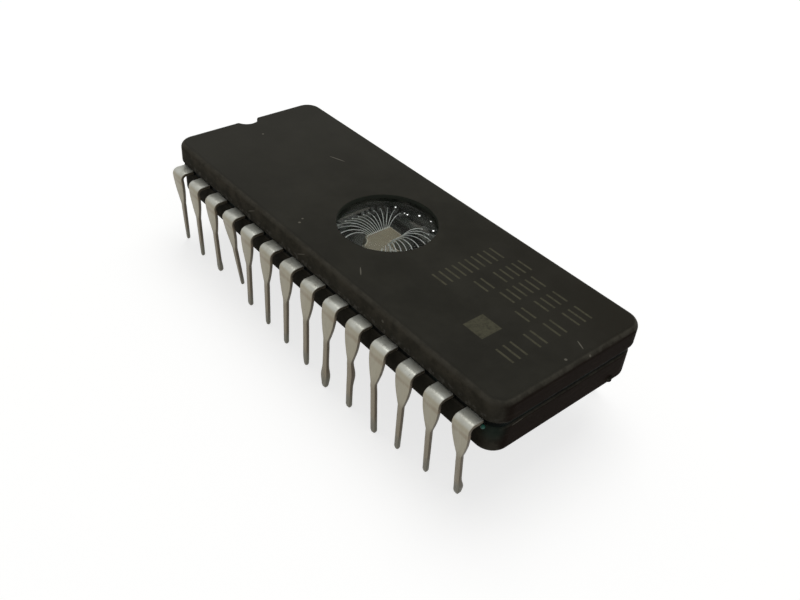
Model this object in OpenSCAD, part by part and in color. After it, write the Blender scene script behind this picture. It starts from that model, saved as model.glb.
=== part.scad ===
// Windowed ceramic memory chip with 28 pins in two rows, standing on its pin tips.
// X runs along the body, away from the index notch. Y runs across it and Z up from the tips.
// Pins 1 to 14 are the row at minus Y, counted from the notch, and 15 to 28 come back along the other row.

/* [Ceramic body] */
// Length of the lid along X
lid_l = 36.6; // [36:0.1:37.4]
// Width of the lid along Y
lid_w = 13.2; // [12.9:0.1:13.4]
// Thickness of the lid
lid_t = 1.7; // [1.5:0.05:2]
// Thickness of the base
base_t = 2.2; // [1.9:0.05:2.4]
// How far the base stays inside the outline of the lid, on each side
base_inset = 0.12; // [0:0.02:0.2]
// Radius of the four upright corners
corner_r = 1.3; // [0.8:0.1:1.6]
// Radius of the lid's top edge and of the base's bottom edge
outer_edge_r = 0.45; // [0.3:0.05:0.6]
// Radius of the two edges that face each other across the glass
inner_edge_r = 0.2; // [0.1:0.05:0.25]
// Radius of the half round index notch
notch_r = 1; // [0.7:0.1:1.3]

/* [Window] */
// Diameter of the round window
window_d = 7.3; // [6.6:0.05:7.6]
// Place of the middle of the window along X
window_x = 0.4; // [-0.5:0.05:0.5]
// Depth of the glass rim below the top of the lid
window_recess = 0.32; // [0.25:0.01:0.4]
// Height that the glass rises from its rim to its flat middle
window_rise = 0.22; // [0.1:0.01:0.24]
// Width of the rounded shoulder between the rim and the flat middle
shoulder_w = 1.4; // [1:0.1:1.8]
// Gap between the underside of the glass and the underside of the lid
window_clearance = 0.35; // [0.3:0.05:0.5]

/* [Chip inside] */
// Width across of the square cavity in the base
cavity_w = 4.4; // [4.2:0.1:4.8]
// Depth of the cavity below the top of the base
cavity_depth = 0.5; // [0.48:0.02:0.7]
// Width of the ledge of bare finger ends round the cavity
ledge_w = 0.8; // [0.7:0.05:0.9]
// Length of the silicon die along X
die_l = 1.7; // [1.6:0.05:2.2]
// Width of the silicon die along Y
die_w = 2.2; // [2:0.05:2.4]
// Place of the middle of the die along Y
die_y = 0.2; // [-0.3:0.05:0.3]
// Thickness of the silicon die
die_t = 0.4; // [0.35:0.01:0.42]
// Thickness of the bond under the die
attach_t = 0.04; // [0.02:0.01:0.06]
// Diameter of a bond wire
wire_d = 0.04; // [0.03:0.005:0.05]

/* [Pins] */
// Distance from one pin to the next
pin_pitch = 2.54; // [2.5:0.01:2.6]
// Distance from the side of the lid to the outer face of a row of pins
shoulder_l = 1.02; // [0.9:0.01:1.1]
// Thickness of the lead frame
lead_t = 0.25; // [0.23:0.01:0.3]
// Height of the top of the lead frame above the pin tips
lead_top = 6.9; // [6.6:0.1:7.2]
// Width of the broad upper part of a pin
broad_w = 1.4; // [1.2:0.05:1.5]
// Width of the slim lower part of a pin
slim_w = 0.46; // [0.41:0.01:0.56]
// Height of the slim part, from its top to the tip
slim_h = 3.9; // [3.4:0.1:4]
// Height of the full width below the bend, above the taper
broad_h = 0.2; // [0.1:0.05:0.5]
// Inner radius of the bend from the body down into the pin
bend_r = 0.25; // [0.2:0.01:0.35]
// Chamfer on the corners of each pin tip
tip_chamfer = 0.1; // [0.05:0.01:0.15]
// Thickness of the glass above and below the lead frame
film_t = 0.1; // [0.08:0.01:0.14]
// How far the glass stays inside the outline of the lid
glass_inset = 0.24; // [0.2:0.02:0.3]

/* [Bent pins] */
// Sideways shift of each tip along X, for pins 1 to 14
tip_sway = [-0.5, -0.25, -0.2, -0.15, -0.15, 0, 0.05, 0.25, 0.35, 0.3, 0.6, 0, 0, -0.1];
// Shift of each tip towards the body, for pins 1 to 14
tip_tuck = [0.6, 0.4, 0.5, 1, 0.15, 0, -0.1, -0.25, -0.5, -0.3, -0.4, 0, 0.25, 0.7];
// Sideways shift of the tip of pin 15, in the far corner of the plain end
corner_sway = -1.2; // [-1.3:0.1:0]

/* [Chips and burrs] */
// Length of the burr on the far top edge of the lid
lid_burr_l = 0.8; // [0.5:0.1:1]
// Place of that burr along X
lid_burr_x = 10.7; // [9:0.1:12]
// Length of the burr low on the end of the base
base_burr_l = 0.5; // [0.3:0.1:0.6]
// Place of that burr along Y
base_burr_y = 4.2; // [3:0.1:4.6]
// How far both burrs stand out
burr_reach = 0.16; // [0.1:0.02:0.2]

/* [Hidden] */
$fn = 48;
pins_per_row = 14;
pins = 2 * pins_per_row;
lead_bottom = lead_top - lead_t;
base_top = lead_bottom - film_t;
base_bottom = base_top - base_t;
lid_bottom = lead_top + film_t;
lid_top = lid_bottom + lid_t;
cavity_floor = base_top - cavity_depth;
die_top = cavity_floor + attach_t + die_t;
leg_face = lid_w / 2 + shoulder_l;
leg_top = lead_bottom - bend_r;
shelf_w = cavity_w + 2 * ledge_w;
lead_turn = leg_face - lead_t - bend_r;
// The broad part runs this far inside the glass before it narrows to a finger
root_y = lid_w / 2 - 1;
finger_root_w = 1.1;
// The finger ends stand on a squarish ring round the cavity, in a fan at each end
finger_gap = 0.2;
ring_r = cavity_w / 2 + finger_gap;
ring_power = 6;
fan_step = 10;
finger_half_angle = 3;
bond_set_back = 0.18;
// Pads stand in one row along each end of the die
pad_inset = 0.12;
pad_pitch = (die_w - 2 * pad_inset) / (pins_per_row - 1);
foot_d = 0.1;
foot_h = 0.03;
// The slim part runs this far up into the taper, so that a leaning one leaves no gap
knee_h = 0.12;
// The wires rise above their chord by this part of its length
loop_rise = 0.16;
cavity_corner_r = 0.7;
attach_margin = 0.14;
burr_h = 0.3;
window_facets = 720;
eps = 0.01;

// Place along X of the pin at a position from 1, next to the notch, to 14
function pin_x(place) = (place - (pins_per_row + 1) / 2) * pin_pitch;

// Pins 15 to 28 sit opposite 14 to 1
function pin_place(pin) = pin <= pins_per_row ? pin : pins + 1 - pin;
function pin_side(pin) = pin <= pins_per_row ? -1 : 1;

// Point of the ring round the cavity, seen from its middle at an angle
function ring_point(angle, radius) =
    let (squareness = pow(pow(abs(cos(angle)), ring_power) + pow(abs(sin(angle)), ring_power), -1 / ring_power))
    radius * squareness * [cos(angle), sin(angle)];

// Angle of the finger end of a pin of the near row, by its place
function finger_angle(place) =
    place <= pins_per_row / 2 ? 180 + (place - 0.5) * fan_step : 360 - (pins_per_row + 0.5 - place) * fan_step;

// Plan with rounded corners, centred
module rounded_plan(length, width, radius) {
    square([length - 2 * radius, width], center = true);
    square([length, width - 2 * radius], center = true);
    for (x = [-1, 1], y = [-1, 1])
        translate([x * (length / 2 - radius), y * (width / 2 - radius)])
            circle(radius);
}

// Section through the rim of a ceramic plate, outer face on the right
module rim_section(reach, height, low_r, high_r) {
    square([reach - low_r, height / 2]);
    translate([0, height / 2])
        square([reach - high_r, height / 2]);
    translate([0, low_r])
        square([reach, height - low_r - high_r]);
    translate([reach - low_r, low_r])
        circle(low_r);
    translate([reach - high_r, height - high_r])
        circle(high_r);
}

// Ceramic plate with rounded upright corners and rounded edges all round
module ceramic_plate(length, width, height, low_r, high_r) {
    straight_x = length - 2 * corner_r;
    straight_y = width - 2 * corner_r;
    translate([-straight_x / 2, -straight_y / 2])
        cube([straight_x, straight_y, height]);
    for (turn = [0, 180]) {
        rotate([0, 0, turn])
            translate([straight_x / 2, straight_y / 2, 0])
                rotate([90, 0, 0])
                    linear_extrude(straight_y)
                        rim_section(corner_r, height, low_r, high_r);
        rotate([0, 0, turn + 90])
            translate([straight_y / 2, straight_x / 2, 0])
                rotate([90, 0, 0])
                    linear_extrude(straight_x)
                        rim_section(corner_r, height, low_r, high_r);
        rotate([0, 0, turn])
            translate([straight_x / 2, straight_y / 2, 0])
                rotate_extrude(angle = 90)
                    rim_section(corner_r, height, low_r, high_r);
        rotate([0, 0, turn])
            translate([-straight_x / 2, straight_y / 2, 0])
                rotate([0, 0, 90])
                    rotate_extrude(angle = 90)
                        rim_section(corner_r, height, low_r, high_r);
    }
}

// Half round index notch at the end next to pins 1 and 28
module index_notch() {
    translate([-lid_l / 2, 0, base_bottom - eps])
        cylinder(h = lid_top - base_bottom + 2 * eps, r = notch_r);
}

// Base plate with the cavity for the die
module ceramic_base() {
    color([0.17, 0.165, 0.15])
    union() {
        difference() {
            translate([0, 0, base_bottom])
                ceramic_plate(lid_l - 2 * base_inset, lid_w - 2 * base_inset, base_t, outer_edge_r, inner_edge_r);
            translate([0, 0, cavity_floor])
                linear_extrude(cavity_depth + eps)
                    rounded_plan(cavity_w, cavity_w, cavity_corner_r);
            index_notch();
        }
        translate([lid_l / 2 - base_inset, base_burr_y, base_bottom + outer_edge_r])
            burr(base_burr_l);
    }
}

// Lid plate with the hole for the window glass
module ceramic_lid() {
    color([0.19, 0.185, 0.165])
    union() {
        difference() {
            translate([0, 0, lid_bottom])
                ceramic_plate(lid_l, lid_w, lid_t, inner_edge_r, outer_edge_r);
            translate([window_x, 0, lid_bottom - eps])
                cylinder(h = lid_t + 2 * eps, d = window_d);
            index_notch();
        }
        translate([lid_burr_x, lid_w / 2, lid_top - outer_edge_r - burr_h])
            rotate([0, 0, 90])
                burr(lid_burr_l);
    }
}

// Small round burr on a side face that looks along X
module burr(length) {
    burr_r = (length * length / 4 + burr_reach * burr_reach) / (2 * burr_reach);
    intersection() {
        translate([burr_reach - burr_r, 0, 0])
            cylinder(h = burr_h, r = burr_r);
        translate([-burr_reach, -length / 2, 0])
            cube([2 * burr_reach, length, burr_h]);
    }
}

// Window glass, fused into the lid, with a flat middle and a shoulder that rounds off to its rim
module window_lens() {
    glass_r = window_d / 2;
    rim_h = lid_t - window_recess - window_clearance;
    shoulder_r = (shoulder_w * shoulder_w + window_rise * window_rise) / (2 * window_rise);
    color([0.5, 0.56, 0.54, 0.5])
    translate([window_x, 0, lid_bottom + window_clearance])
        rotate_extrude() {
            square([glass_r - shoulder_w, rim_h + window_rise]);
            intersection() {
                translate([glass_r - shoulder_w, 0])
                    square([shoulder_w, rim_h + window_rise]);
                translate([glass_r - shoulder_w, rim_h + window_rise - shoulder_r])
                    circle(shoulder_r, $fn = window_facets);
            }
        }
}

// Glass between base and lid, with a channel for each lead
module glass_seal() {
    glass_l = lid_l - 2 * glass_inset;
    glass_w = lid_w - 2 * glass_inset;
    color([0.1, 0.13, 0.12])
    difference() {
        translate([0, 0, base_top])
            linear_extrude(lid_bottom - base_top)
                rounded_plan(glass_l, glass_w, corner_r - glass_inset);
        translate([0, 0, base_top - eps])
            linear_extrude(lid_bottom - base_top)
                rounded_plan(cavity_w, cavity_w, cavity_corner_r);
        translate([0, 0, lead_bottom])
            linear_extrude(lead_t + film_t + eps)
                rounded_plan(shelf_w, shelf_w, cavity_corner_r);
        translate([0, 0, lead_bottom])
            linear_extrude(lead_t)
                for (side = [0, 1], place = [1 : pins_per_row])
                    mirror([0, side, 0])
                        lead_plan(place);
        index_notch();
    }
}

// Silicon die
module die() {
    color([0.72, 0.7, 0.6])
    translate([-die_l / 2, die_y - die_w / 2, die_top - die_t])
        cube([die_l, die_w, die_t]);
}

// Bond that holds the die on the cavity floor
module die_attach() {
    attach_l = die_l + 2 * attach_margin;
    attach_w = die_w + 2 * attach_margin;
    color([0.6, 0.5, 0.3])
    translate([-attach_l / 2, die_y - attach_w / 2, cavity_floor])
        cube([attach_l, attach_w, attach_t]);
}

// Plan of a lead of the near row inside and just outside the body: finger, root and shoulder
module lead_plan(place) {
    x = pin_x(place);
    angle = finger_angle(place);
    polygon([
        [x - broad_w / 2, -lead_turn],
        [x + broad_w / 2, -lead_turn],
        [x + broad_w / 2, -root_y],
        [x + finger_root_w / 2, -root_y + broad_w / 2 - finger_root_w / 2],
        ring_point(angle + finger_half_angle, ring_r),
        ring_point(angle - finger_half_angle, ring_r),
        [x - finger_root_w / 2, -root_y + broad_w / 2 - finger_root_w / 2],
        [x - broad_w / 2, -root_y]
    ]);
}

// Upper leg seen from outside, from the bend down to the top of the slim part
module broad_plan() {
    steps = 8;
    taper_top = leg_top - broad_h;
    side = [for (i = [0 : steps])
        let (drop = i / steps, half = slim_w / 2 + (broad_w - slim_w) / 2 * cos(90 * drop))
        [half, taper_top - drop * (taper_top - slim_h)]];
    polygon(concat(
        [[broad_w / 2, leg_top]],
        side,
        [for (i = [steps : -1 : 0]) [-side[i][0], side[i][1]]],
        [[-broad_w / 2, leg_top]]
    ));
}

// Slim lower leg seen from outside, hanging from the origin
module slim_plan(length) {
    polygon([
        [slim_w / 2, knee_h],
        [slim_w / 2, tip_chamfer - length],
        [slim_w / 2 - tip_chamfer, -length],
        [tip_chamfer - slim_w / 2, -length],
        [-slim_w / 2, tip_chamfer - length],
        [-slim_w / 2, knee_h]
    ]);
}

// One lead of the near row. The whole leg leans towards the body by a tuck, and its slim part along X by a sway.
module near_lead(place, sway, tuck) {
    lean = asin(tuck / leg_top);
    // A leg that leans inwards is cut shorter, so that its outer corner stays level with the other tips
    cut = max(0, (bend_r + lead_t) * sin(lean) - leg_top * (1 - cos(lean)));
    translate([0, 0, lead_bottom])
        linear_extrude(lead_t)
            lead_plan(place);
    translate([pin_x(place), -lead_turn, leg_top]) {
        translate([-broad_w / 2, 0, 0])
            rotate([0, 90, 0])
                rotate([0, 0, 180])
                    rotate_extrude(angle = 90 + lean)
                        translate([bend_r, 0])
                            square([lead_t, broad_w]);
        rotate([lean, 0, 0]) {
            translate([0, -bend_r, -leg_top])
                rotate([90, 0, 0])
                    linear_extrude(lead_t)
                        broad_plan();
            translate([0, -bend_r - lead_t / 2, slim_h - leg_top])
                slim_leg(sway, slim_h - cut);
        }
    }
}

// Slim leg hanging from the middle of the sheet, leaning along X
module slim_leg(sway, length) {
    rotate([90, -asin(sway / slim_h), 0])
        translate([0, 0, -lead_t / 2])
            linear_extrude(lead_t)
                slim_plan(length);
}

// Lead by its pin number. The far row is straight, apart from its corner pin.
module lead(pin) {
    place = pin_place(pin);
    near = pin_side(pin) < 0;
    far_sway = place == pins_per_row ? corner_sway : 0;
    color([0.72, 0.7, 0.66])
    mirror([0, near ? 0 : 1, 0])
        near_lead(place, near ? tip_sway[place - 1] : far_sway, near ? tip_tuck[place - 1] : 0);
}

// Bond wire from the die to the finger of one pin
module bond_wire(pin) {
    place = pin_place(pin);
    side = pin_side(pin);
    end = place <= pins_per_row / 2 ? -1 : 1;
    rank = end < 0 ? place : pins_per_row + 1 - place;
    pad = [end * (die_l / 2 - pad_inset), die_y + side * (rank - 0.5) * pad_pitch];
    near_bond = ring_point(finger_angle(place), ring_r + bond_set_back);
    bond = [near_bond[0], -side * near_bond[1]];
    run = norm(bond - pad);
    rise = lead_top - die_top;
    chord = norm([run, rise]);
    sagitta = loop_rise * chord;
    arc_r = (chord * chord / 4 + sagitta * sagitta) / (2 * sagitta);
    half_arc = asin(chord / 2 / arc_r);
    heading = atan2(bond[1] - pad[1], bond[0] - pad[0]);
    translate([pad[0], pad[1], die_top])
        cylinder(h = foot_h, d = foot_d);
    translate([bond[0], bond[1], lead_top])
        cylinder(h = foot_h, d = foot_d);
    translate([pad[0], pad[1], die_top + wire_d / 2])
        rotate([0, -atan2(rise, run), heading])
            translate([chord / 2, 0, sagitta - arc_r])
                rotate([90, 0, 0])
                    rotate([0, 0, 90 - half_arc])
                        rotate_extrude(angle = 2 * half_arc)
                            translate([arc_r, 0])
                                circle(d = wire_d, $fn = 16);
}

// Wires of the pins on the notch side of the middle
module bond_wires_notch_end() {
    color([0.85, 0.85, 0.83])
    for (pin = [1 : pins])
        if (pin_place(pin) <= pins_per_row / 2)
            bond_wire(pin);
}

// Wires of the pins on the plain side of the middle
module bond_wires_plain_end() {
    color([0.85, 0.85, 0.83])
    for (pin = [1 : pins])
        if (pin_place(pin) > pins_per_row / 2)
            bond_wire(pin);
}

ceramic_base();
ceramic_lid();
window_lens();
glass_seal();
die();
die_attach();
bond_wires_notch_end();
bond_wires_plain_end();
lead(1);  // lead_01
lead(2);  // lead_02
lead(3);  // lead_03
lead(4);  // lead_04
lead(5);  // lead_05
lead(6);  // lead_06
lead(7);  // lead_07
lead(8);  // lead_08
lead(9);  // lead_09
lead(10);  // lead_10
lead(11);  // lead_11
lead(12);  // lead_12
lead(13);  // lead_13
lead(14);  // lead_14
lead(15);  // lead_15
lead(16);  // lead_16
lead(17);  // lead_17
lead(18);  // lead_18
lead(19);  // lead_19
lead(20);  // lead_20
lead(21);  // lead_21
lead(22);  // lead_22
lead(23);  // lead_23
lead(24);  // lead_24
lead(25);  // lead_25
lead(26);  // lead_26
lead(27);  // lead_27
lead(28);  // lead_28
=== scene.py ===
import math

import bmesh
import bpy
from mathutils import Matrix, Vector, noise


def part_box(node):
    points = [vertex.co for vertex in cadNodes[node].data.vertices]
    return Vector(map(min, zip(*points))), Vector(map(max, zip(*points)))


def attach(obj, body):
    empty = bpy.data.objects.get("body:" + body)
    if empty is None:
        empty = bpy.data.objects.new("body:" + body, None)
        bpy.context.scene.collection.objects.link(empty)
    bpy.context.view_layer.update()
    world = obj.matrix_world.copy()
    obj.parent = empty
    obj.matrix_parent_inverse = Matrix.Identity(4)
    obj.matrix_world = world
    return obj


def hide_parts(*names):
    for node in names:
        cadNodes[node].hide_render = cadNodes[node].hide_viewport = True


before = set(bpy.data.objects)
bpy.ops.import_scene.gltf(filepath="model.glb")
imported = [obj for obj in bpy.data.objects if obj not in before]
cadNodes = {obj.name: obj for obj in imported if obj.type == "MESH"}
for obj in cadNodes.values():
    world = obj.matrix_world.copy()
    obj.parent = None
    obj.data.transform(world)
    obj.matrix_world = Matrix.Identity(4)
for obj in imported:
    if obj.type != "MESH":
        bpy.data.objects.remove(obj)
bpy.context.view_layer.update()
mm = 0.001

# places in millimetres that the pieces share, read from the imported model
lidLow, lidHigh = [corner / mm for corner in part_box("ceramic_lid")]
sealLow, sealHigh = [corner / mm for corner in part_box("glass_seal")]
lensLow, lensHigh = [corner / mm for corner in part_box("window_lens")]
dieLow, dieHigh = [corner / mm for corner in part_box("die")]
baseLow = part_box("ceramic_base")[0] / mm
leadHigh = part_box("lead_28")[1] / mm
lensMiddle = (lensLow + lensHigh) / 2
dieMiddle = (dieLow + dieHigh) / 2
windowRadius = (lensHigh.x - lensLow.x) / 2
pinPitch = 2.54
pinsPerRow = 14
leadThickness = 0.25


def pinX(place):
    return (place - (pinsPerRow + 1) / 2) * pinPitch


def srgb(red, green, blue):
    def linear(level):
        level /= 255
        return level / 12.92 if level <= 0.04045 else ((level + 0.055) / 1.055) ** 2.4

    return (linear(red), linear(green), linear(blue), 1.0)


# Helpers for shader nodes


def setInputs(tree, node, inputs):
    # a value that comes from another node is linked, any other is set on the socket itself
    for socket, value in inputs.items():
        if isinstance(value, bpy.types.NodeSocket):
            tree.links.new(value, node.inputs[socket])
        else:
            node.inputs[socket].default_value = value


def addNode(tree, kind, inputs=None, **settings):
    node = tree.nodes.new(kind)
    for name, value in settings.items():
        setattr(node, name, value)
    setInputs(tree, node, inputs or {})
    return node


def output(tree, kind, inputs=None, **settings):
    # the first output of a new node
    return addNode(tree, kind, inputs, **settings).outputs[0]


def maths(tree, operation, first, second=0.0, third=0.0, clamp=False):
    node = addNode(tree, "ShaderNodeMath", {0: first, 1: second, 2: third}, operation=operation)
    node.use_clamp = clamp
    return node.outputs[0]


def times(tree, first, second, third=1.0):
    both = maths(tree, "MULTIPLY", first, second)
    return both if third == 1.0 else maths(tree, "MULTIPLY", both, third)


def remap(tree, value, low, high, outLow=0.0, outHigh=1.0):
    inputs = {"Value": value, "From Min": low, "From Max": high, "To Min": outLow, "To Max": outHigh}
    return output(tree, "ShaderNodeMapRange", inputs, interpolation_type="SMOOTHSTEP")


def mixColour(tree, factor, first, second):
    return addNode(tree, "ShaderNodeMix", {0: factor, 6: first, 7: second}, data_type="RGBA").outputs[2]


def mixValue(tree, factor, first, second):
    return output(tree, "ShaderNodeMix", {0: factor, 2: first, 3: second}, data_type="FLOAT")


def mixShader(tree, factor, first, second):
    return output(tree, "ShaderNodeMixShader", {0: factor, 1: first, 2: second})


def splitUp(tree, vector):
    return addNode(tree, "ShaderNodeSeparateXYZ", {0: vector}).outputs


def facing(tree):
    return splitUp(tree, addNode(tree, "ShaderNodeNewGeometry").outputs["Normal"])


def noiseAt(tree, vector, scale, detail=3.0, roughness=0.55):
    inputs = {"Vector": vector, "Scale": scale, "Detail": detail, "Roughness": roughness}
    return output(tree, "ShaderNodeTexNoise", inputs)


def patchy(tree, vector, patches, outLow=0.0, outHigh=1.0):
    # a mask of irregular patches, from the noise's scale, detail and roughness and the levels it runs between
    scale, detail, roughness, low, high = patches
    return remap(tree, noiseAt(tree, vector, scale, detail, roughness), low, high, outLow, outHigh)


def wavy(tree, vector, value, scale, amount):
    # moves a value about by a noise, so that its edge isn't straight
    return maths(tree, "ADD", value, times(tree, noiseAt(tree, vector, scale, 3.0, 0.6), amount))


def layOver(tree, look, colour, mask, name):
    # puts the look's colour of that name over the one below, as strongly as its shares say
    share = look["shares"].get(name, 1.0)
    return mixColour(tree, mask if share == 1.0 else times(tree, mask, share), colour, look[name])


def stretched(tree, vector, scale):
    return output(tree, "ShaderNodeMapping", {"Vector": vector, "Scale": scale})


def distanceTo(tree, vector, point):
    inputs = {0: vector, 1: point}
    return addNode(tree, "ShaderNodeVectorMath", inputs, operation="DISTANCE").outputs["Value"]


def streakMask(tree, vector, first, last, halfWidth):
    # a long thin ellipse: the two distances to its ends add up to hardly more than its length
    both = maths(tree, "ADD", distanceTo(tree, vector, first), distanceTo(tree, vector, last))
    length = math.dist(first, last)
    spare = 2 * halfWidth**2 / length
    return remap(tree, both, length + 2 * spare, length + 0.3 * spare)


def newGroup(name, inputs, outputs):
    # a group that reads a place and some numbers, and puts out masks or heights
    group = bpy.data.node_groups.new(name, "ShaderNodeTree")
    group.interface.new_socket("Place", in_out="INPUT", socket_type="NodeSocketVector")
    for label, value in inputs.items():
        socket = group.interface.new_socket(label, in_out="INPUT", socket_type="NodeSocketFloat")
        socket.default_value = value
    for label in outputs:
        group.interface.new_socket(label, in_out="OUTPUT", socket_type="NodeSocketFloat")
    start = group.nodes.new("NodeGroupInput")
    end = group.nodes.new("NodeGroupOutput")
    return group, start.outputs, end.inputs


def useGroup(tree, group, inputs):
    node = tree.nodes.new("ShaderNodeGroup")
    node.node_tree = group
    setInputs(tree, node, inputs)
    return node.outputs


def newMaterial(name):
    material = bpy.data.materials.new(name)
    material.use_nodes = True
    tree = material.node_tree
    shader = tree.nodes["Principled BSDF"]
    place = addNode(tree, "ShaderNodeTexCoord").outputs["Object"]
    inputs = {0: place, 1: (1 / mm, 1 / mm, 1 / mm)}
    inMm = addNode(tree, "ShaderNodeVectorMath", inputs, operation="MULTIPLY")
    return material, tree, shader, inMm.outputs[0]


def bumpFrom(tree, height, depthMm):
    return output(tree, "ShaderNodeBump", {"Height": height, "Distance": depthMm * mm, "Strength": 1.0})


def awayFrom(tree, axisValue, middle=0.0):
    return maths(tree, "ABSOLUTE", maths(tree, "SUBTRACT", axisValue, middle))


def largerOf(tree, first, second):
    return maths(tree, "MAXIMUM", first, second)


def squareReach(tree, parts):
    # how far a place lies from the middle, counted as on a square
    return largerOf(tree, maths(tree, "ABSOLUTE", parts[0]), maths(tree, "ABSOLUTE", parts[1]))


def makeTwoTone(name, look):
    # a finish of two tones of one noise, which may also change its gloss and its relief
    material, tree, shader, place = newMaterial(name)
    tone = noiseAt(tree, place, look["scale"], look["detail"], look["breakup"])
    if "contrast" in look:
        tone = remap(tree, tone, *look["contrast"])
    roughness = look["smooth"]
    if "rough" in look:
        roughness = remap(tree, tone, 0.3, 0.7, look["smooth"], look["rough"])
    inputs = {
        "Base Color": mixColour(tree, tone, look["dark"], look["light"]),
        "Metallic": look["metallic"],
        "Roughness": roughness,
    }
    if "shine" in look:
        inputs["Specular IOR Level"] = look["shine"]
    if "depth" in look:
        inputs["Normal"] = bumpFrom(tree, tone, look["depth"])
    setInputs(tree, shader, inputs)
    return material


def coat(object_, material):
    object_.data.materials.clear()
    object_.data.materials.append(material)


def newObject(name, data):
    made = bpy.data.objects.new(name, data)
    bpy.context.scene.collection.objects.link(made)
    return made


# Shader groups that several materials share

grainSet = dict(
    wavesPerMm=2.2,
    grainShare=0.35,
    waveShare=0.65,
    grainLevels=(0.35, 0.68),
    mottleLevels=(0.32, 0.7),
)
edgeSet = dict(flat=0.985, rounded=0.84, patches=(1.6, 4.0, 0.65, 0.38, 0.62))
dustSet = dict(
    facingUp=(0.2, 0.95),
    clouds=(0.28, 5.0, 0.62, 0.35, 0.75),
    motesPerMm=1.7,
    moteReach=(0.07, 0.03),
    cloudShare=0.6,
    moteShare=0.5,
)


def makeGrainGroup():
    inputs = {"Grains per mm": 20.0, "Mottle per mm": 0.5}
    group, start, end = newGroup("fine_grain", inputs, ["Height", "Grain", "Mottle"])
    grain = noiseAt(group, start["Place"], start["Grains per mm"], 2.0, 0.6)
    mottle = noiseAt(group, start["Place"], start["Mottle per mm"], 4.0, 0.6)
    waves = noiseAt(group, start["Place"], grainSet["wavesPerMm"], 2.0, 0.5)
    grainHeight = times(group, grain, grainSet["grainShare"])
    height = maths(group, "ADD", grainHeight, times(group, waves, grainSet["waveShare"]))
    group.links.new(height, end["Height"])
    group.links.new(remap(group, grain, *grainSet["grainLevels"]), end["Grain"])
    group.links.new(remap(group, mottle, *grainSet["mottleLevels"]), end["Mottle"])
    return group


def makeEdgeGroup():
    # rounded edges are where the surface faces no main direction
    group, start, end = newGroup("worn_and_highlit_edges", {"Breakup": 0.6}, ["Mask"])
    normal = addNode(group, "ShaderNodeNewGeometry").outputs["Normal"]
    sizes = output(group, "ShaderNodeVectorMath", {0: normal}, operation="ABSOLUTE")
    parts = splitUp(group, sizes)
    flat = largerOf(group, largerOf(group, parts[0], parts[1]), parts[2])
    rounded = remap(group, flat, edgeSet["flat"], edgeSet["rounded"])
    patches = patchy(group, start["Place"], edgeSet["patches"])
    group.links.new(times(group, rounded, mixValue(group, start["Breakup"], 1.0, patches)), end["Mask"])
    return group


def makeDustGroup():
    group, start, end = newGroup("settled_dust", {"Amount": 0.5}, ["Mask"])
    up = remap(group, facing(group)[2], *dustSet["facingUp"])
    clouds = times(group, patchy(group, start["Place"], dustSet["clouds"]), dustSet["cloudShare"])
    inputs = {"Vector": start["Place"], "Scale": dustSet["motesPerMm"]}
    cells = addNode(group, "ShaderNodeTexVoronoi", inputs).outputs["Distance"]
    motes = times(group, remap(group, cells, *dustSet["moteReach"]), dustSet["moteShare"])
    both = maths(group, "ADD", clouds, motes)
    group.links.new(times(group, times(group, both, up), start["Amount"]), end["Mask"])
    return group


grainGroup = makeGrainGroup()
edgeGroup = makeEdgeGroup()
dustGroup = makeDustGroup()

# Ceramic of the lid and the base

ceramicLook = dict(
    dark=srgb(44, 43, 38),
    light=srgb(51, 50, 44),
    # painted sheen at the notch end, and painted shade at the far corner of the other end
    notchEndSheen=srgb(57, 56, 51),
    farCorner=srgb(44, 42, 36),
    # paler rounded edges: partly real wear, partly painted highlight
    wornAndLit=srgb(78, 75, 67),
    dust=srgb(74, 72, 66),
    ink=srgb(86, 84, 69),
    # painted shade: side is for the upright faces, longSide for the long ones
    side=srgb(34, 27, 22),
    longSide=srgb(42, 40, 34),
    streak=srgb(47, 40, 34),
    handled=srgb(88, 83, 72),
    cavity=srgb(72, 72, 68),
    # painted light on the shaded wall of the window hole
    hole=srgb(70, 74, 66),
    # painted glints on crumbs of the sealing glass
    fritGlint=srgb(98, 96, 90),
    mark=srgb(140, 136, 124),
    # painted teal sheen on the near corner of the plain end
    run=srgb(22, 52, 46),
    shares=dict(notchEndSheen=0.8, streak=0.8, fritGlint=0.6, wornAndLit=0.75, mark=0.45, run=0.5),
    roughness=0.6,
    edgeRoughness=0.45,
    shine=0.012,
    grainDepth=0.012,
    edgeBreakup=0.55,
    dustiness=0.22,
    grainsPerMm=22.0,
    mottlePerMm=0.32,
    grainShare=0.25,
    streakStretch=(1.0, 0.45, 5.0),
    streakLines=(1.0, 4.0, 0.65, 0.5, 0.72),
    rubbedSpots=(0.9, 4.0, 0.65, 0.35, 0.65),
    crumbs=(2.4, 4.0, 0.7, 0.5, 0.6),
    fadedPrint=(3.0, 4.0, 0.7, 0.3, 0.6),
    # places in millimetres where each tone begins or ends
    paleStart=6.0,
    darkStart=-4.0,
    crumbRise=0.2,
    crumbReach=(0.45, 0.2),
    topReach=0.05,
    holeMargin=0.02,
    cavityReach=5.0,
    cavityRise=1.2,
    sheenMiddle=(17.75, -6.2, 6.2),
    sheenRadius=1.1,
    sheenCore=0.2,
)

# plain tally strokes where the print would stand: middle along X, height, and reach along Y
printRows = [
    dict(middle=7.55, height=1.4, start=-1.6, end=4.2),
    dict(middle=9.65, height=1.3, start=-0.2, end=4.6),
    dict(middle=11.45, height=1.3, start=0.4, end=4.3),
    dict(middle=13.35, height=1.25, start=0.1, end=4.35),
    dict(middle=15.3, height=1.45, start=-3.5, end=4.1),
]
printSquare = dict(middleX=12.6, middleY=-2.45, half=0.85, softness=0.03)
tally = dict(strokesPerMm=1.7, halfStroke=0.13, softness=0.03, shown=0.78)

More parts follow.
